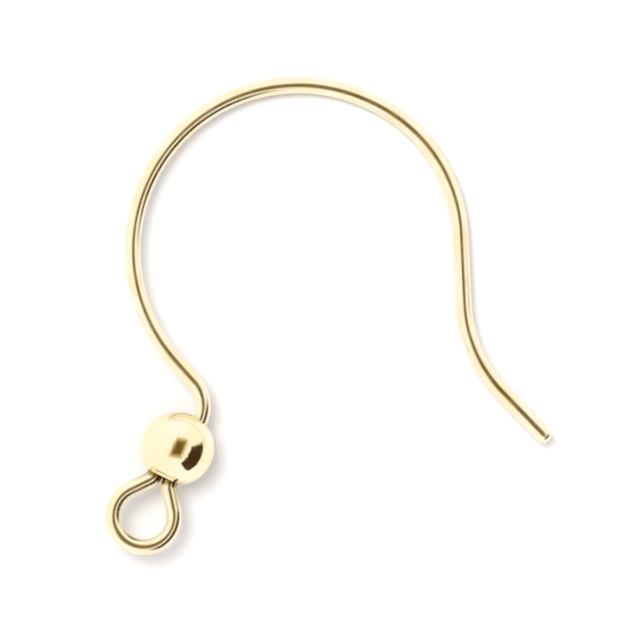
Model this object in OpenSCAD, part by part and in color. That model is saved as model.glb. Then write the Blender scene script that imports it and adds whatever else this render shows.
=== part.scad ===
// Ear wire with a ball bead: one round wire, bent cold, and a hollow ball that hides its join.
// The wire is written down as it is bent: feed a straight length, then bend it round a pin.
// It lies as it comes to rest on a table, on its bead and on one point of the hook.

/* [Wire] */
// Diameter of the round wire
wire_d = 0.64; // [0.5:0.01:0.8]
// Space between the two strands that lie side by side in the bead
strand_gap = 0.03; // [0.02:0.01:0.1]
// How far the wire's surface draws in where it is bent
neck = 0.002; // [0.001:0.001:0.01]
// Radius of the dome that the end through the ear is smoothed to
tip_r = 0.42; // [0.42:0.01:0.8]

/* [Bead] */
// Diameter of the ball bead
bead_d = 3; // [2.6:0.1:4]
// Thickness of the hollow bead's wall
bead_wall = 0.3; // [0.2:0.05:0.5]
// Space between the strands and the walls of the bead's two holes
bore_gap = 0.03; // [0.02:0.01:0.1]

/* [Loop] */
// Inside diameter of the loop that the drop hangs from
loop_d = 1.82; // [1.5:0.02:2.6]
// Angle at which each leg of the loop spreads from the bead's axis
leg_spread = 38; // [28:1:42]
// Radius, at the wire's centre, of the two bends at the mouth of the bead
mouth_r = 0.5; // [0.4:0.05:0.8]
// Length of the wire's inner end that is tucked up into the bead
tuck_len = 1.6; // [1:0.1:2.2]

/* [Hook] */
// Radius, at the wire's centre, of the bend just above the bead
stem_r = 1.5; // [1:0.05:2.5]
// Angle of the bend just above the bead
stem_turn = 68.2; // [55:0.1:85]
// Straight length between that bend and the round hook
stem_len = 1.09; // [0.2:0.01:3]
// Radius, at the wire's centre, of the round hook in front of the ear
hook_r = 6.72; // [5.5:0.02:9]
// Angle that the round hook turns through, up to the top
hook_turn = 155.6; // [140:0.1:170]
// Straight length at the top of the hook
crown_len = 0.2; // [0.1:0.05:2]
// Radius, at the wire's centre, of the tighter round that goes down behind the ear
nape_r = 6.2; // [5:0.1:8]
// Angle of the round behind the ear
nape_turn = 63.9; // [50:0.1:75]
// Straight length behind the ear, after that round
back_len = 2.85; // [1:0.01:5]
// Radius, at the wire's centre, of the outward bend of the tail
flare_r = 5.4; // [3:0.1:8]
// Angle of the outward bend of the tail
flare_turn = 41.4; // [20:0.1:60]
// Straight length of the tail, before its smoothed end
tail_len = 2.36; // [1.5:0.01:6]
// Angle that the bead's axis leans over from straight up the sheet
lean = 26.2; // [0:0.1:45]

/* [Hidden] */
$fn = 96;
wire_r = wire_d / 2;
bent_r = wire_r - neck;
bead_r = bead_d / 2;

// The pair of strands fills the lower hole, each strand half a pitch from the bead's axis.
// The stem goes on alone through the upper hole.
strand_x = (wire_d + strand_gap) / 2;
mouth_hole_r = strand_x + wire_r + bore_gap;
stem_hole_r = wire_r + bore_gap;
// How far below the bead's centre the edge of the lower hole lies. The stem starts to bend as far
// above the centre.
rim_y = sqrt(bead_r * bead_r - mouth_hole_r * mouth_hole_r);

// The legs of the loop are tangents from the mouth bends to a round of this radius.
loop_r = (loop_d + wire_d) / 2;
leg_len = (loop_r * cos(leg_spread) - strand_x - mouth_r * (1 - cos(leg_spread))) / sin(leg_spread);
loop_turn = 180 + 2 * leg_spread;

// The bending table, from the tucked end to the tip. A turn to the left is positive.
bends = [
    // feed,     radius,  turn
    [tuck_len,   mouth_r, -leg_spread],  // down through the bead, out at its mouth
    [leg_len,    loop_r,  loop_turn],    // first leg and the round of the loop
    [leg_len,    mouth_r, -leg_spread],  // second leg, back to the mouth
    [2 * rim_y,  stem_r,  stem_turn],    // up through the bead, then over to the left
    [stem_len,   hook_r,  -hook_turn],   // the round hook, up to its top
    [crown_len,  nape_r,  -nape_turn],   // over the top, then down behind the ear
    [back_len,   flare_r, flare_turn],   // on behind the ear, then outwards
    [tail_len,   0,       0]             // the tail
];
last_row = len(bends) - 1;
// The columns: the straight length to feed, then the radius and the turn of the bend after it.
function feed_of(row) = row[0];
function radius_of(row) = row[1];
function turn_of(row) = row[2];

// Length by which a bend runs on inside the straight lengths at its ends.
lap = 0.02;

// A place on the wire is [x, y, heading]. The table is followed from this one.
wire_start = [-strand_x, tuck_len - rim_y, -90];

function along(heading, distance) = distance * [cos(heading), sin(heading)];
function left_of(heading, distance) = along(heading + 90, distance);
function spot(place) = [place[0], place[1]];
function side(row) = sign(turn_of(row)) * radius_of(row);
function fed(place, row) = concat(spot(place) + along(place[2], feed_of(row)), place[2]);
function bend_centre(place, row) = spot(place) + left_of(place[2], side(row));
function bent(place, row, turn) =
    concat(bend_centre(place, row) - left_of(place[2] + turn, side(row)), place[2] + turn);
function after(place, row) = bent(fed(place, row), row, turn_of(row));
function place_at(row_number) =
    row_number == 0 ? wire_start : after(place_at(row_number - 1), bends[row_number - 1]);

// Balance of the wire about the bead's centre: each row's length times the middle of that length.
function arc_length(row) = radius_of(row) * abs(turn_of(row)) * PI / 180;
function arc_middle(place, row) =
    bend_centre(place, row)
    - left_of(place[2] + turn_of(row) / 2, side(row)) * sin(turn_of(row) / 2) / (turn_of(row) * PI / 360);
function row_balance(place, row) =
    feed_of(row) * (spot(place) + spot(fed(place, row))) / 2
    + (turn_of(row) == 0 ? [0, 0] : arc_length(row) * arc_middle(fed(place, row), row));
function balance(row_number) =
    row_balance(place_at(row_number), bends[row_number])
    + (row_number == 0 ? [0, 0] : balance(row_number - 1));

// At rest the balance point lies over the line from the bead to the one point of the hook that
// touches the table, which is where the ray through that balance point crosses the second round.
nape_row = last_row - 2;
nape_centre = bend_centre(fed(place_at(nape_row), bends[nape_row]), bends[nape_row]);
ray = balance(last_row) / norm(balance(last_row));
ray_reach = ray * nape_centre
    + sqrt(pow(ray * nape_centre, 2) - nape_centre * nape_centre + nape_r * nape_r);
downhill = (ray_reach * ray - nape_centre) / nape_r;
tilt = asin((bead_r - bent_r) / (ray_reach * ray * downhill));

// The lying wire's outline, from points along each row and one near the end of the tail.
STEPS = 24;
function turned(p) = [p[0] * cos(lean) + p[1] * sin(lean), p[1] * cos(lean) - p[0] * sin(lean)];
function laid(p) = turned(p - downhill * (p * downhill) * (1 - cos(tilt)));
outline = [
    for (n = [0 : last_row])
        for (s = [0 : STEPS])
            laid(spot(bent(fed(place_at(n), bends[n]), bends[n], turn_of(bends[n]) * s / STEPS))),
    laid(spot(fed(place_at(last_row), [tail_len + tip_r - wire_r, 0, 0])))
];
function reach(axis, way) = max([for (p = outline) way * p[axis]]) + wire_r;
middle = [reach(0, 1) - reach(0, -1), reach(1, 1) - reach(1, -1)] / 2;

// Lays what is drawn flat about the bead's centre down on the table, centred on the origin.
module lay_down() {
    translate([-middle[0], -middle[1], bead_r])
        rotate([0, 0, -lean])
            rotate(a = tilt, v = [-downhill[1], downhill[0], 0])
                children();
}

// A straight length of wire along +Y.
module straight(length) {
    rotate([-90, 0, 0])
        cylinder(h = length, d = wire_d);
}

// Moves to where a bend that starts here, along +Y, comes to its end.
module past_bend(radius, turn) {
    translate([-sign(turn) * radius, 0, 0])
        rotate([0, 0, turn])
            translate([sign(turn) * radius, 0, 0])
                children();
}

// A bend that starts along +Y, to the left for a positive turn.
module bend(radius, turn) {
    lap_turn = lap / radius * 180 / PI;
    mirror([turn < 0 ? 1 : 0, 0, 0])
        translate([-radius, 0, 0])
            rotate([0, 0, -lap_turn])
                rotate_extrude(angle = abs(turn) + 2 * lap_turn)
                    translate([radius, 0])
                        circle(r = bent_r);
}

// Draws each row of the table where the row before it ended.
module bent_wire(row_number) {
    row = bends[row_number];
    straight(feed_of(row));
    translate([0, feed_of(row), 0])
        if (row_number < last_row) {
            bend(radius_of(row), turn_of(row));
            past_bend(radius_of(row), turn_of(row))
                bent_wire(row_number + 1);
        } else {
            tip();
        }
}

// The smoothed end: the wire carried on inside a ball, centred where its straight length ends.
module tip() {
    intersection() {
        straight(2 * tip_r);
        sphere(r = tip_r);
    }
}

module ear_hook() {
    color("gold")
        lay_down()
            translate([wire_start[0], wire_start[1], 0])
                rotate([0, 0, 180])
                    bent_wire(0);
}

module ball_bead() {
    color("khaki")
        lay_down()
            difference() {
                sphere(r = bead_r);
                sphere(r = bead_r - bead_wall);
                rotate([90, 0, 0])
                    cylinder(h = bead_d, r = mouth_hole_r);
                translate([strand_x, 0, 0])
                    rotate([-90, 0, 0])
                        cylinder(h = bead_d, r = stem_hole_r);
            }
}

ear_hook();
ball_bead();
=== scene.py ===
# %% [markdown]
# # An ear wire with a ball bead
#
# The object is one round gilt wire. It is bent cold into a small loop for the drop, a round hook
# for the ear and a tail that flares out behind the lobe. A hollow ball, threaded on it, hides the
# place where the wire's inner end is tucked back beside itself.
#
# Two pieces are made here, the wire and the ball. Each takes the place of the plain solid of the
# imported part, which is coarse: polished metal shows every facet in its reflections, so the looks
# depend on a mesh that is far smoother than the one that a simulator wants.

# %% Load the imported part
from math import asin, ceil, cos, pi, radians, sin, sqrt

import bmesh
import bpy
from mathutils import Matrix, Vector


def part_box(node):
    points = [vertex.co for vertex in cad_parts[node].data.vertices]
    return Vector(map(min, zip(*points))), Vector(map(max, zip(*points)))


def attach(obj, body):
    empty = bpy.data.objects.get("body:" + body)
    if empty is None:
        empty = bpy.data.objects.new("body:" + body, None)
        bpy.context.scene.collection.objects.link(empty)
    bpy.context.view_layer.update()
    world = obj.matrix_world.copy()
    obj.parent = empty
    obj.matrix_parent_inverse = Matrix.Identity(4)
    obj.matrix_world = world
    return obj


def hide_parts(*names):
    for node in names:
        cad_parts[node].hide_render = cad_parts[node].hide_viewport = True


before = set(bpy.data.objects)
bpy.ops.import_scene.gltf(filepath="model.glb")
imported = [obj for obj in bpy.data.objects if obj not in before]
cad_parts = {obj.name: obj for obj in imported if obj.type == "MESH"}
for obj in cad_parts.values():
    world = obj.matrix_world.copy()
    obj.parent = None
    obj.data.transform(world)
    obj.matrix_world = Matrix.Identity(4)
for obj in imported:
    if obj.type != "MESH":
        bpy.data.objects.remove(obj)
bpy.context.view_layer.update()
print("CAD nodes:", ", ".join(sorted(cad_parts)))

# %% [markdown]
# ## The camera
#
# The wire is photographed from straight above, from far off with a long lens. A long lens keeps
# the near and far parts of the wire at one scale, as in a catalogue picture, and the width of the
# picture is then simply a number of millimetres at the height of the wire.

# %% Put the camera up
MM = 0.001
PICTURE_PX = 640
PX_PER_MM = 24.67
BEAD_IN_PICTURE = (177.5, 448.0)
CAMERA_HEIGHT = 300 * MM
WIRE_HEIGHT = 0.8 * MM
NEAREST_SEEN = 10 * MM
FARTHEST_SEEN = 10

bead_low, bead_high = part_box("ball_bead")
bead_centre = (Vector(bead_low) + Vector(bead_high)) / 2
picture_width = PICTURE_PX / PX_PER_MM * MM
half_px = PICTURE_PX / 2
aim_x = bead_centre.x + (half_px - BEAD_IN_PICTURE[0]) / PX_PER_MM * MM
aim_y = bead_centre.y - (half_px - BEAD_IN_PICTURE[1]) / PX_PER_MM * MM
bpy.ops.object.select_all(action="DESELECT")
bpy.ops.object.camera_add(location=(aim_x, aim_y, CAMERA_HEIGHT), rotation=(0, 0, 0))
camera = bpy.context.object
camera.name = "overhead_camera"
camera.data.lens = camera.data.sensor_width * (CAMERA_HEIGHT - WIRE_HEIGHT) / picture_width
camera.data.clip_start = NEAREST_SEEN
camera.data.clip_end = FARTHEST_SEEN
bpy.context.scene.camera = camera
print(f"camera: {camera.data.lens:.0f} mm lens, {picture_width / MM:.2f} mm wide picture")

# %% [markdown]
# ## Working large
#
# Blender's tools have built-in tolerances, such as a tenth of a millimetre for merging points.
# That is a third of this wire's radius. So each piece is modelled a thousand times too large, at
# one unit to the millimetre, and scaled down as it is laid in its place. The bead's centre is the
# origin while the pieces are flat on the drawing, with the bead's axis along +Y.

# %% Helpers for edit mode
def start_clean():
    """Object mode, with nothing selected."""
    if bpy.context.mode != "OBJECT":
        bpy.ops.object.mode_set(mode="OBJECT")
    bpy.ops.object.select_all(action="DESELECT")


def select_points(wanted):
    """In edit mode, selects the points whose place passes the test, with the edges between."""
    bpy.ops.mesh.select_mode(type="VERT")
    bpy.ops.mesh.select_all(action="DESELECT")
    mesh = bmesh.from_edit_mesh(bpy.context.edit_object.data)
    for point in mesh.verts:
        point.select = wanted(point.co)
    mesh.select_flush(True)
    bmesh.update_edit_mesh(bpy.context.edit_object.data)


def print_size(piece):
    print(f"{piece.name}: {len(piece.data.vertices)} points, {len(piece.data.polygons)} faces")


# %% [markdown]
# ## Bending the wire
#
# A jeweller or a bending machine makes this shape from straight wire: feed a length, then bend it
# round a pin. The list of feeds, pins and turns is the real description of the object. The model
# follows the same list with the same two motions. Extruding a ring of edges along its heading is
# the feed, and spinning it about the pin is the bend. A curve with a bevel would be quicker, but
# its section twists and its bends are only as round as its handles.

# %% The bending list, in millimetres and degrees
WIRE_R = 0.32
STRAND_X = 0.335
BEAD_R = 1.5
MOUTH_HOLE_R = 0.685
STEM_HOLE_R = 0.35
TUCK_LENGTH = 1.6
LEG_SPREAD = 38
LOOP_R = 1.23
MOUTH_R = 0.5
TIP_R = 0.42
rim_y = sqrt(BEAD_R**2 - MOUTH_HOLE_R**2)
spread = radians(LEG_SPREAD)
leg_length = (LOOP_R * cos(spread) - STRAND_X - MOUTH_R * (1 - cos(spread))) / sin(spread)
BENDS = [
    # feed, pin radius, turn to the left
    (TUCK_LENGTH, MOUTH_R, -LEG_SPREAD),  # down through the bead, out at its mouth
    (leg_length, LOOP_R, 180 + 2 * LEG_SPREAD),  # first leg and the round of the loop
    (leg_length, MOUTH_R, -LEG_SPREAD),  # second leg, back to the mouth
    (2 * rim_y, 1.5, 68.2),  # up through the bead, then over to the left
    (1.09, 6.72, -155.6),  # the round hook, up to its top
    (0.2, 6.2, -63.9),  # over the top, then down behind the ear
    (2.85, 5.4, 41.4),  # on behind the ear, then outwards
    (2.36, 0, 0),  # the tail
]
print(f"loop legs: {leg_length:.3f} mm, lower hole {rim_y:.3f} mm below the bead's centre")

# %% Feed and bend
DEGREES_A_STEP = 2.5


def along(heading):
    return Vector((cos(heading), sin(heading), 0))


def feed(distance):
    """Pushes the selected ring forward, and notes how far along the wire it is, and its heading."""
    global place
    place += along(heading) * distance
    bpy.ops.mesh.extrude_edges_move(
        TRANSFORM_OT_translate={"value": along(heading) * distance})
    stations.append((stations[-1][0] + distance, heading))


def bend(pin_radius, turn):
    """Spins the selected ring about a pin at its left or right."""
    global place, heading
    side = along(heading + pi / 2) * (pin_radius if turn > 0 else -pin_radius)
    pin = place + side
    steps = ceil(abs(turn) / DEGREES_A_STEP)
    # About an axis that points at the reader, spin's positive angle runs clockwise.
    bpy.ops.mesh.spin(steps=steps, angle=-radians(turn), center=pin, axis=(0, 0, 1))
    place = pin - Matrix.Rotation(radians(turn), 3, "Z") @ side
    for _ in range(steps):
        heading += radians(turn) / steps
        stations.append((stations[-1][0] + pin_radius * abs(radians(turn)) / steps, heading))


# %% Bend the whole wire
AROUND = 48
FIRST_HEADING = -pi / 2
cut_y = TUCK_LENGTH - rim_y

start_clean()
heading = FIRST_HEADING
place = Vector((-STRAND_X, cut_y, 0))
stations = [(0.0, heading)]
bpy.ops.mesh.primitive_circle_add(
    vertices=AROUND, radius=WIRE_R, location=place, rotation=(pi / 2, 0, 0))
wire = bpy.context.object
wire.name = wire.data.name = "bent_wire"
bpy.ops.object.transform_apply(location=True, rotation=True, scale=True)
bpy.ops.object.mode_set(mode="EDIT")
for feed_length, pin_radius, turn in BENDS:
    feed(feed_length)
    if turn:
        bend(pin_radius, turn)
print(f"wire fed: {stations[-1][0]:.2f} mm, tail ends at {place.x:.3f}, {place.y:.3f}")

# %% [markdown]
# ## The two ends of the wire
#
# The end that goes through the ear is tumbled or cup-burred to a smooth dome, so that it can't
# scratch. Here the last ring is pushed out in small steps and drawn in with the scale tool, so
# that the rings follow a ball, and the last one is merged to a point. The other end is only
# snipped and lies hidden in the bead, so it gets a plain face with its edge taken off.

# %% Dome the tip
DOME_STEPS = 8
EDGE_SOFT = 0.03
EDGE_STEP = 0.6 * EDGE_SOFT
EDGE_DRAWN_IN = 0.25 * EDGE_SOFT


def draw_in(ratio, centre):
    """Scales the selected ring about its centre."""
    bpy.ops.transform.resize(value=(ratio, ratio, ratio), center_override=centre)


ball_start = place.copy()
edge_angle = asin(WIRE_R / TIP_R)
feed(TIP_R * cos(edge_angle) - EDGE_SOFT)
# One ring rounds off the edge where the ball meets the wire.
ring_r = WIRE_R - EDGE_DRAWN_IN
feed(EDGE_STEP)
draw_in(ring_r / WIRE_R, place)
for n in range(1, DOME_STEPS):
    polar = edge_angle * (1 - n / DOME_STEPS)
    feed(TIP_R * cos(polar) - (place - ball_start).length)
    draw_in(TIP_R * sin(polar) / ring_r, place)
    ring_r = TIP_R * sin(polar)
feed(TIP_R - (place - ball_start).length)
bpy.ops.mesh.merge(type="CENTER")
print(f"tip: {(place - ball_start).length:.3f} mm past the end of the straight tail")

# %% Close the cut end
CUT_SOFT = 0.04
TOUCHING = 1e-4

select_points(lambda p: abs(p.y - cut_y) < TOUCHING and abs(p.x + STRAND_X) < WIRE_R + TOUCHING)
bpy.ops.mesh.extrude_edges_move(TRANSFORM_OT_translate={"value": (0, CUT_SOFT, 0)})
draw_in(1 - CUT_SOFT / WIRE_R, Vector((-STRAND_X, cut_y + CUT_SOFT, 0)))
bpy.ops.mesh.edge_face_add()
bpy.ops.mesh.select_all(action="SELECT")
bpy.ops.mesh.normals_make_consistent(inside=False)
bpy.ops.object.mode_set(mode="OBJECT")
print_size(wire)

# %% [markdown]
# ## What the wire remembers
#
# The fine lines that the drawing die leaves run along the wire and follow every bend. A pattern
# on plain object coordinates would cut straight across them. So each point keeps a note of where
# it was on the straight wire, before any bend: two numbers say where in the round section, and
# the third how far along. The note is an attribute, which the material reads instead of a place.

# %% Note each point's place on the straight wire
def unbent_ring(ring, ring_heading, station):
    """The places of one ring's points: left of the wire's middle, above it, and along it."""
    centre = sum(ring, Vector()) / len(ring)
    left = along(ring_heading + pi / 2)
    return [Vector(((p - centre).dot(left), p.z - centre.z, station)) for p in ring]


points = [p.co.copy() for p in wire.data.vertices]
unbent = []
for station, ring_heading in stations[:-1]:
    ring = points[len(unbent):len(unbent) + AROUND]
    unbent.extend(unbent_ring(ring, ring_heading, station))
unbent.append(Vector((0, 0, stations[-1][0])))
unbent.extend(unbent_ring(points[len(unbent):], FIRST_HEADING, -CUT_SOFT))
note = wire.data.attributes.new("unbent", "FLOAT_VECTOR", "POINT")
note.data.foreach_set("vector", [value for where in unbent for value in where])
print(f"noted {len(unbent)} places, the farthest {max(w.z for w in unbent):.2f} mm along")

# %% [markdown]
# ## Painted shade in the corner at the ball's mouth
#
# The corner where the two strands leave the ball lies in shade and mirrors the dark hole. That
# dark is painted into the metal's colour, as painted shade. A second note says how deep in that
# corner each point lies, from 0 in the open to 1 at the ball's mouth. The ball gets the same note
# on its wide hole's edge.

# %% Note how deep in the corner each point lies
# The painted shade is full down to one depth below the mouth, and gone from another.
DARK_BELOW = 0.08
CLEAN_BELOW = 0.22
DEEPER_BETWEEN = 0.14
BETWEEN_STRANDS = 0.05


def fade(value, full, none):
    """1 up to one value, 0 from another one on, and evenly less between them."""
    return min(max((none - value) / (none - full), 0), 1)


def note_corner(piece, depth_of):
    depths = [depth_of(p.co) for p in piece.data.vertices]
    piece.data.attributes.new("corner", "FLOAT", "POINT").data.foreach_set("value", depths)
    print(f"{piece.name}: {sum(d > 0 for d in depths)} points in the corner")


def wire_depth(p):
    """The painted shade reaches farther down between the two strands than at their outer sides."""
    below = -p.y - rim_y - DEEPER_BETWEEN * fade(abs(p.x), BETWEEN_STRANDS, STRAND_X)
    in_mouth = p.y < 0 and abs(p.x) < BEAD_R
    return fade(below, DARK_BELOW, CLEAN_BELOW) if in_mouth else 0


note_corner(wire, wire_depth)

# %% [markdown]
# ## Laying the pieces down
#
# On the table the wire can't lie flat, because the ball is fatter than the wire. It rests on the
# ball and on one point of the hook, tipped a few degrees. The tip's angle and direction come from
# the balance of the wire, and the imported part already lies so. Each finished piece is turned the
# same way, moved to the bead's centre and scaled down, and the move is applied to its mesh.

# %% Helpers to lay a piece down
LEAN = 26.2
TILT = 4.1958
DOWNHILL = (0.11455, 0.993418)

tip_axis = Vector((-DOWNHILL[1], DOWNHILL[0], 0))
at_rest = (
    Matrix.Translation(bead_centre)
    @ Matrix.Rotation(radians(-LEAN), 4, "Z")
    @ Matrix.Rotation(radians(TILT), 4, tip_axis)
    @ Matrix.Scale(MM, 4)
)


def lay_down(piece):
    start_clean()
    piece.select_set(True)
    bpy.context.view_layer.objects.active = piece
    piece.matrix_world = at_rest
    bpy.ops.object.transform_apply(location=True, rotation=True, scale=True)


def rounded_mm(lengths):
    return [round(length / MM, 3) for length in lengths]


def corners(piece):
    """Lowest and highest corner of a piece, in millimetres."""
    points = [p.co for p in piece.data.vertices]
    low = [min(p[axis] for p in points) for axis in range(3)]
    high = [max(p[axis] for p in points) for axis in range(3)]
    return rounded_mm(low), rounded_mm(high)


# %% Lay the wire down
WIRE_CREASE = 50

lay_down(wire)
bpy.ops.object.shade_smooth_by_angle(angle=radians(WIRE_CREASE))
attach(wire, "root")
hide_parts("ear_hook")
print("wire lies from", *corners(wire))

# %% [markdown]
# ## The ball
#
# The bead is a hollow ball with a wide hole below, for both strands, and a snug one above, for the
# stem alone. The punch leaves the wide hole's edge slightly turned, and that edge is seen. So this
# hole is cut with clean rings of faces: a bisection opens each of two balls, a bridge joins them
# through the wall, and a bevel turns the edge. A boolean would leave thin faces there, just where
# a polished edge catches the light.

# %% Cut the ball's two skins
BEAD_WALL = 0.3
SEGMENTS = 96
RINGS = 64
SAME_POINT = 1e-5


def cut_ball(radius):
    """A ball about the Y axis, open at its lower end where it is as wide as the hole."""
    start_clean()
    bpy.ops.mesh.primitive_uv_sphere_add(
        segments=SEGMENTS, ring_count=RINGS, radius=radius, location=(0, 0, 0),
        rotation=(pi / 2, 0, 0))
    skin = bpy.context.object
    bpy.ops.object.transform_apply(location=True, rotation=True, scale=True)
    bpy.ops.object.mode_set(mode="EDIT")
    end = -sqrt(radius**2 - MOUTH_HOLE_R**2)
    bpy.ops.mesh.select_all(action="SELECT")
    bpy.ops.mesh.bisect(
        plane_co=(0, end, 0), plane_no=(0, -1, 0), clear_outer=True, threshold=SAME_POINT)
    bpy.ops.object.mode_set(mode="OBJECT")
    return skin, end


outer_skin, outer_end = cut_ball(BEAD_R)
inner_skin, inner_end = cut_ball(BEAD_R - BEAD_WALL)
print(f"skins open at {outer_end:.3f} and {inner_end:.3f} mm")

# %% Join the skins through the wide hole and turn its edge
LIP = 0.07
LIP_STEPS = 5


def on_edge(p, end):
    return abs(p.y - end) < TOUCHING


start_clean()
inner_skin.select_set(True)
outer_skin.select_set(True)
bpy.context.view_layer.objects.active = outer_skin
bpy.ops.object.join()
ball = bpy.context.object
ball.name = ball.data.name = "ball"
bpy.ops.object.mode_set(mode="EDIT")
select_points(lambda p: on_edge(p, outer_end) or on_edge(p, inner_end))
bpy.ops.mesh.bridge_edge_loops()
bpy.ops.mesh.select_all(action="SELECT")
bpy.ops.mesh.remove_doubles(threshold=SAME_POINT)
bpy.ops.mesh.normals_make_consistent(inside=False)
select_points(lambda p: on_edge(p, outer_end))
bpy.ops.mesh.bevel(offset=LIP, segments=LIP_STEPS, profile=0.5, affect="EDGES")
bpy.ops.object.mode_set(mode="OBJECT")
print_size(ball)

# %% [markdown]
# ## The snug hole
#
# The stem leaves the ball off its axis, where rings of faces can't follow the hole. Here a boolean
# is right: the wire fills the hole all but a hair, so the thin faces at its edge don't show. The
# cutter is a cylinder from the ball's middle to well above it. Once it has cut, points that the cut
# left on top of each other are merged and the cutter is deleted.

# %% Bore the snug hole
BORE_SIDES = 64

start_clean()
bpy.ops.mesh.primitive_cylinder_add(
    vertices=BORE_SIDES, radius=STEM_HOLE_R, depth=2 * BEAD_R, location=(STRAND_X, BEAD_R, 0),
    rotation=(pi / 2, 0, 0))
cutter = bpy.context.object
start_clean()
ball.select_set(True)
bpy.context.view_layer.objects.active = ball
bpy.ops.object.modifier_add(type="BOOLEAN")
bore = ball.modifiers[-1]
bore.operation = "DIFFERENCE"
bore.solver = "EXACT"
bore.object = cutter
bpy.ops.object.modifier_apply(modifier=bore.name)
bpy.ops.object.mode_set(mode="EDIT")
bpy.ops.mesh.select_all(action="SELECT")
bpy.ops.mesh.remove_doubles(threshold=SAME_POINT)
start_clean()
cutter.select_set(True)
bpy.ops.object.delete()
print_size(ball)

# %% Note the ball's corner and lay it down
# The ball's edge at the wide hole gets the painted shade too, full right at the hole.
DARK_LIP = 0.1 * LIP
CLEAN_LIP = 0.5 * LIP
BALL_CREASE = 40


def ball_depth(p):
    from_axis = sqrt(p.x**2 + p.z**2)
    near_mouth = p.y < -rim_y / 2
    return fade(from_axis, MOUTH_HOLE_R + DARK_LIP, MOUTH_HOLE_R + CLEAN_LIP) if near_mouth else 0


note_corner(ball, ball_depth)
lay_down(ball)
bpy.ops.object.shade_smooth_by_angle(angle=radians(BALL_CREASE))
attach(ball, "root")
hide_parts("ball_bead")
print("ball lies from", *corners(ball))

# %% [markdown]
# ## Gilt metal
#
# Both pieces are bright gilt brass. Metal has no colour of its own to speak of: it tints what it
# mirrors, so the base colour is the tint and the rest is in how sharp the mirror is. Three things
# keep it from looking like plastic. The tint drifts a little from place to place, the polish is
# uneven, and the surface carries marks at the scale that making it leaves: drawing lines along
# the wire, and the faint orange peel and handling scratches of a tumbled ball.

# %% Start a material
def new_material(name, shader="ShaderNodeBsdfPrincipled"):
    material = bpy.data.materials.new(name)
    material.use_nodes = True
    tree = material.node_tree
    tree.nodes.clear()
    surface = tree.nodes.new(shader)
    output = tree.nodes.new("ShaderNodeOutputMaterial")
    tree.links.new(surface.outputs[0], output.inputs["Surface"])
    return material, tree, surface


def dress(piece, material):
    piece.data.materials.clear()
    piece.data.materials.append(material)


def own_note(tree, name):
    """The node that reads a note off the piece's own points."""
    note_node = tree.nodes.new("ShaderNodeAttribute")
    note_node.attribute_type = "GEOMETRY"
    note_node.attribute_name = name
    return note_node


# %% Helpers for patterns
def spread_out(tree, source, scale):
    """A vector with each axis stretched, for patterns that run one way."""
    mapping = tree.nodes.new("ShaderNodeMapping")
    mapping.inputs["Scale"].default_value = scale
    tree.links.new(source, mapping.inputs["Vector"])
    return mapping.outputs["Vector"]


def noise(tree, vector, scale, detail, roughness=0.5):
    texture = tree.nodes.new("ShaderNodeTexNoise")
    texture.inputs["Scale"].default_value = scale
    texture.inputs["Detail"].default_value = detail
    texture.inputs["Roughness"].default_value = roughness
    tree.links.new(vector, texture.inputs["Vector"])
    return texture.outputs["Fac"]


def remap(tree, value, span, result=(0, 1)):
    """Stretches a span of values to another one, and holds what lies past its ends."""
    node = tree.nodes.new("ShaderNodeMapRange")
    for socket, number in zip(("From Min", "From Max", "To Min", "To Max"), (*span, *result)):
        node.inputs[socket].default_value = number
    tree.links.new(value, node.inputs["Value"])
    return node.outputs["Result"]


def combine(tree, operation, *values):
    """One step of arithmetic on sockets and plain numbers."""
    node = tree.nodes.new("ShaderNodeMath")
    node.operation = operation
    for socket, value in zip(node.inputs, values):
        if isinstance(value, (int, float)):
            socket.default_value = value
        else:
            tree.links.new(value, socket)
    return node.outputs["Value"]


def distance_from(tree, value, level):
    """How far a value is from a level, above or below it."""
    return combine(tree, "ABSOLUTE", combine(tree, "SUBTRACT", value, level))


# %% Helpers for colour and relief
# The colour of the painted shade that is mixed in at the ball's mouth.
PAINTED_CORNER_SHADE = (0.36, 0.245, 0.065)
DRIFT_SPAN = (0.35, 0.65)


def mix(tree, amount, first, second):
    """From the first colour to the second one. Each is a socket or three plain numbers."""
    node = tree.nodes.new("ShaderNodeMix")
    node.data_type = "RGBA"
    for socket, colour in ((node.inputs["A"], first), (node.inputs["B"], second)):
        if isinstance(colour, tuple):
            socket.default_value = (*colour, 1)
        else:
            tree.links.new(colour, socket)
    tree.links.new(amount, node.inputs["Factor"])
    return node.outputs["Result"]


def gild(tree, surface, drift, pale, deep):
    """Metal whose tint drifts from pale to deep, with the painted shade that the piece's note asks
    for.
    """
    surface.inputs["Metallic"].default_value = 1.0
    tint = mix(tree, remap(tree, drift, DRIFT_SPAN), pale, deep)
    # Painted shade: darker towards the ball's mouth, as far as the corner note says.
    corner = own_note(tree, "corner").outputs["Fac"]
    tree.links.new(mix(tree, corner, tint, PAINTED_CORNER_SHADE), surface.inputs["Base Color"])


def relief(tree, height, depth):
    node = tree.nodes.new("ShaderNodeBump")
    node.inputs["Distance"].default_value = depth
    tree.links.new(height, node.inputs["Height"])
    return node.outputs["Normal"]


# %% [markdown]
# ## The wire's finish
#
# The lines of the drawing die are long and narrow, so the noise that stands for them is squeezed
# across the wire and stretched along it. A second, slower noise is the drift of the plating, and
# a third the places where fingers and pliers have dulled the polish.

# %% Gilt wire
PALE_WIRE = (0.925, 0.86, 0.66)
DEEP_WIRE = (0.905, 0.80, 0.52)
ALONG_LINES = (1, 1, 0.03)
ALONG_SMEARS = (1, 1, 0.35)
LINE_SPAN = (0.3, 0.7)
SMEAR_SPAN = (0.35, 0.7)
WIRE_ROUGHNESS = (0.16, 0.26)
LINE_ROUGHNESS = (0, 0.05)
LINE_DEPTH = 0.002 * MM

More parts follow.
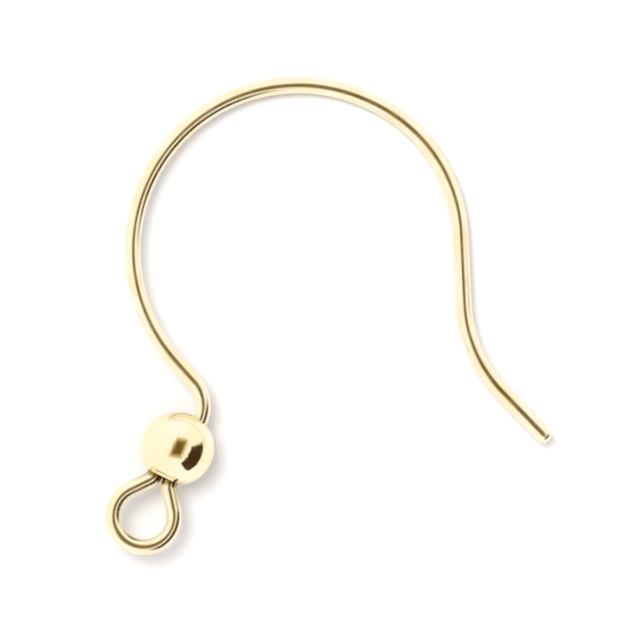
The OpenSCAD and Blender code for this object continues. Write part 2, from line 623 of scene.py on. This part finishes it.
gilt_wire, tree, surface = new_material("gilt_wire")
straight = own_note(tree, "unbent").outputs["Vector"]
die_lines = noise(
    tree, spread_out(tree, straight, ALONG_LINES), scale=22, detail=3, roughness=0.6)
drift = noise(tree, straight, scale=0.9, detail=3)
smears = noise(
    tree, spread_out(tree, straight, ALONG_SMEARS), scale=3.5, detail=4, roughness=0.6)
gild(tree, surface, drift, PALE_WIRE, DEEP_WIRE)
roughness = combine(
    tree, "ADD",
    remap(tree, smears, SMEAR_SPAN, WIRE_ROUGHNESS),
    remap(tree, die_lines, LINE_SPAN, LINE_ROUGHNESS))
tree.links.new(roughness, surface.inputs["Roughness"])
tree.links.new(relief(tree, die_lines, LINE_DEPTH), surface.inputs["Normal"])
dress(wire, gilt_wire)
print("gilt wire:", len(tree.nodes), "nodes")

# %% [markdown]
# ## The ball's finish
#
# A ball is tumbled with steel shot, which leaves it brighter than the wire, with a faint orange
# peel and a few hair scratches. A scratch is where a noise passes through the middle of its
# range: that level is a thin winding line, and stretching the noise makes the line run one way.

# %% Gilt ball
PALE_BALL = (0.94, 0.86, 0.65)
DEEP_BALL = (0.92, 0.81, 0.50)
ALONG_SCRATCHES = (6, 1.2, 3)
SCRATCH_LEVEL = 0.5
SCRATCH_SPAN = (0, 0.006)
BALL_ROUGHNESS = (0.06, 0.13)
SCRATCH_ROUGHNESS = 0.08
SCRATCH_DEPTH = 0.15
PEEL_DEPTH = 0.004 * MM

gilt_ball, tree, surface = new_material("gilt_ball")
place_node = tree.nodes.new("ShaderNodeTexCoord")
in_mm = spread_out(tree, place_node.outputs["Object"], (1 / MM, 1 / MM, 1 / MM))
drift = noise(tree, in_mm, scale=0.8, detail=3)
peel = noise(tree, in_mm, scale=5, detail=2)
smears = noise(tree, in_mm, scale=2.2, detail=4, roughness=0.6)
winding = noise(tree, spread_out(tree, in_mm, ALONG_SCRATCHES), scale=1.6, detail=1)
scratch = remap(tree, distance_from(tree, winding, SCRATCH_LEVEL), SCRATCH_SPAN, (1, 0))
gild(tree, surface, drift, PALE_BALL, DEEP_BALL)
roughness = combine(
    tree, "ADD",
    remap(tree, smears, SMEAR_SPAN, BALL_ROUGHNESS),
    combine(tree, "MULTIPLY", scratch, SCRATCH_ROUGHNESS))
tree.links.new(roughness, surface.inputs["Roughness"])
height = combine(tree, "SUBTRACT", peel, combine(tree, "MULTIPLY", scratch, SCRATCH_DEPTH))
tree.links.new(relief(tree, height, PEEL_DEPTH), surface.inputs["Normal"])
dress(ball, gilt_ball)
print("gilt ball:", len(tree.nodes), "nodes")

# %% [markdown]
# ## The table
#
# The wire lies on plain white paper, which is exposed until it is pure white. All that shows of
# it is the soft shadow beside the wire.

# %% Lay the paper
PAPER_SIZE = 4.0
PAPER_COLOUR = (0.70, 0.675, 0.67)
PAPER_ROUGHNESS = 0.9
PAPER_SHINE = 0.1

start_clean()
bpy.ops.mesh.primitive_plane_add(size=PAPER_SIZE, location=(0, 0, 0))
paper = bpy.context.object
paper.name = "white_paper"
white, tree, surface = new_material("white_paper")
surface.inputs["Base Color"].default_value = (*PAPER_COLOUR, 1)
surface.inputs["Roughness"].default_value = PAPER_ROUGHNESS
surface.inputs["Specular IOR Level"].default_value = PAPER_SHINE
dress(paper, white)
print(f"paper: {PAPER_SIZE:.0f} m wide")

# %% [markdown]
# ## Light for polished metal
#
# Lighting a mirror means choosing what it sees. White from every side makes the gilt glow and
# blows the paper out to white. A wide, soft key light adds the shadow, and is kept out of the
# reflections. Then dark cards draw the shape back in: one over the lens gives the thin line along
# the top of the wire, and one low at the right gives the second line and the crescent on the ball.
# The cards are seen in reflections only, throw no shadow, and fade into the white at their edges.

# %% White surroundings and a soft key light
ROOM_LIGHT = 1.12
KEY_STRENGTH = 1.9
KEY_SOFTNESS = 24
KEY_FROM = Vector((-0.21, 0.26, 1.0))

room = bpy.data.worlds.new("white_room")
room.use_nodes = True
room.node_tree.nodes["Background"].inputs["Color"].default_value = (1, 1, 1, 1)
room.node_tree.nodes["Background"].inputs["Strength"].default_value = ROOM_LIGHT
bpy.context.scene.world = room
bpy.context.scene.view_settings.view_transform = "Standard"

start_clean()
bpy.ops.object.light_add(
    type="SUN", location=KEY_FROM, rotation=KEY_FROM.to_track_quat("Z", "Y").to_euler())
key = bpy.context.object
key.name = "key_light"
key.data.angle = radians(KEY_SOFTNESS)
key.data.energy = KEY_STRENGTH
key.visible_glossy = False
print(f"key light at {tuple(KEY_FROM)}, as wide as {KEY_SOFTNESS} degrees of the sky")

# %% A card that only mirrors see
HALF_CARD = 0.5
RIM_SHARE = 1 / 3


def seen_from_ball(azimuth, elevation, distance):
    """The place in a direction from the ball, in degrees, at a distance in millimetres."""
    a, e = radians(azimuth), radians(elevation)
    return bead_centre + Vector((cos(a) * cos(e), sin(a) * cos(e), sin(e))) * distance * MM


def card_colour(tree, core, core_colour, rim_colour):
    """Plain over the core's share of the card, then through the rim's colour to the white room."""
    split = tree.nodes.new("ShaderNodeSeparateXYZ")
    tree.links.new(tree.nodes.new("ShaderNodeTexCoord").outputs["UV"], split.inputs["Vector"])
    off_middle = [distance_from(tree, split.outputs[axis], HALF_CARD) for axis in "XY"]
    from_middle = combine(tree, "MAXIMUM", *off_middle)
    core_end = core * HALF_CARD
    rim_at = core_end + (HALF_CARD - core_end) * RIM_SHARE
    inside = mix(tree, remap(tree, from_middle, (core_end, rim_at)), core_colour, rim_colour)
    return mix(tree, remap(tree, from_middle, (rim_at, HALF_CARD)), inside, (ROOM_LIGHT,) * 3)


def dark_card(name, directions, core, core_colour, rim_colour):
    """A card with its four corners in the directions in which the ball sees them."""
    start_clean()
    bpy.ops.mesh.primitive_plane_add(size=1, location=(0, 0, 0))
    card = bpy.context.object
    card.name = name
    for point, direction in zip(card.data.vertices, directions):
        point.co = seen_from_ball(*direction)
    material, tree, glow = new_material(name, "ShaderNodeEmission")
    tree.links.new(card_colour(tree, core, core_colour, rim_colour), glow.inputs["Color"])
    dress(card, material)
    card.visible_camera = False
    card.visible_diffuse = False
    card.visible_shadow = False
    print(f"{name}: corners seen at {[direction[:2] for direction in directions]}")


# %% Hang the two cards
# The corners of the cards: azimuth, elevation, distance. The second card runs away from the hook,
# so that the left arc sees its near end farther round than the ball does.
OVER_LENS = ((-138, 49, 500), (-69, 53, 500), (89, 50, 500), (38, 39, 500))
LOW_RIGHT = ((-66, 6, 200), (18, -1, 40), (-76, 41, 250), (11, 43, 53))
SOFT_CORE = 0.4
CRISP_CORE = 0.94
BROWN = (0.16, 0.10, 0.02)
BROWN_RIM = (0.55, 0.40, 0.15)
NEAR_BLACK = (0.06, 0.034, 0.012)
BLACK_RIM = (0.5, 0.4, 0.2)

dark_card("card_over_lens", OVER_LENS, SOFT_CORE, BROWN, BROWN_RIM)
dark_card("card_low_right", LOW_RIGHT, CRISP_CORE, NEAR_BLACK, BLACK_RIM)
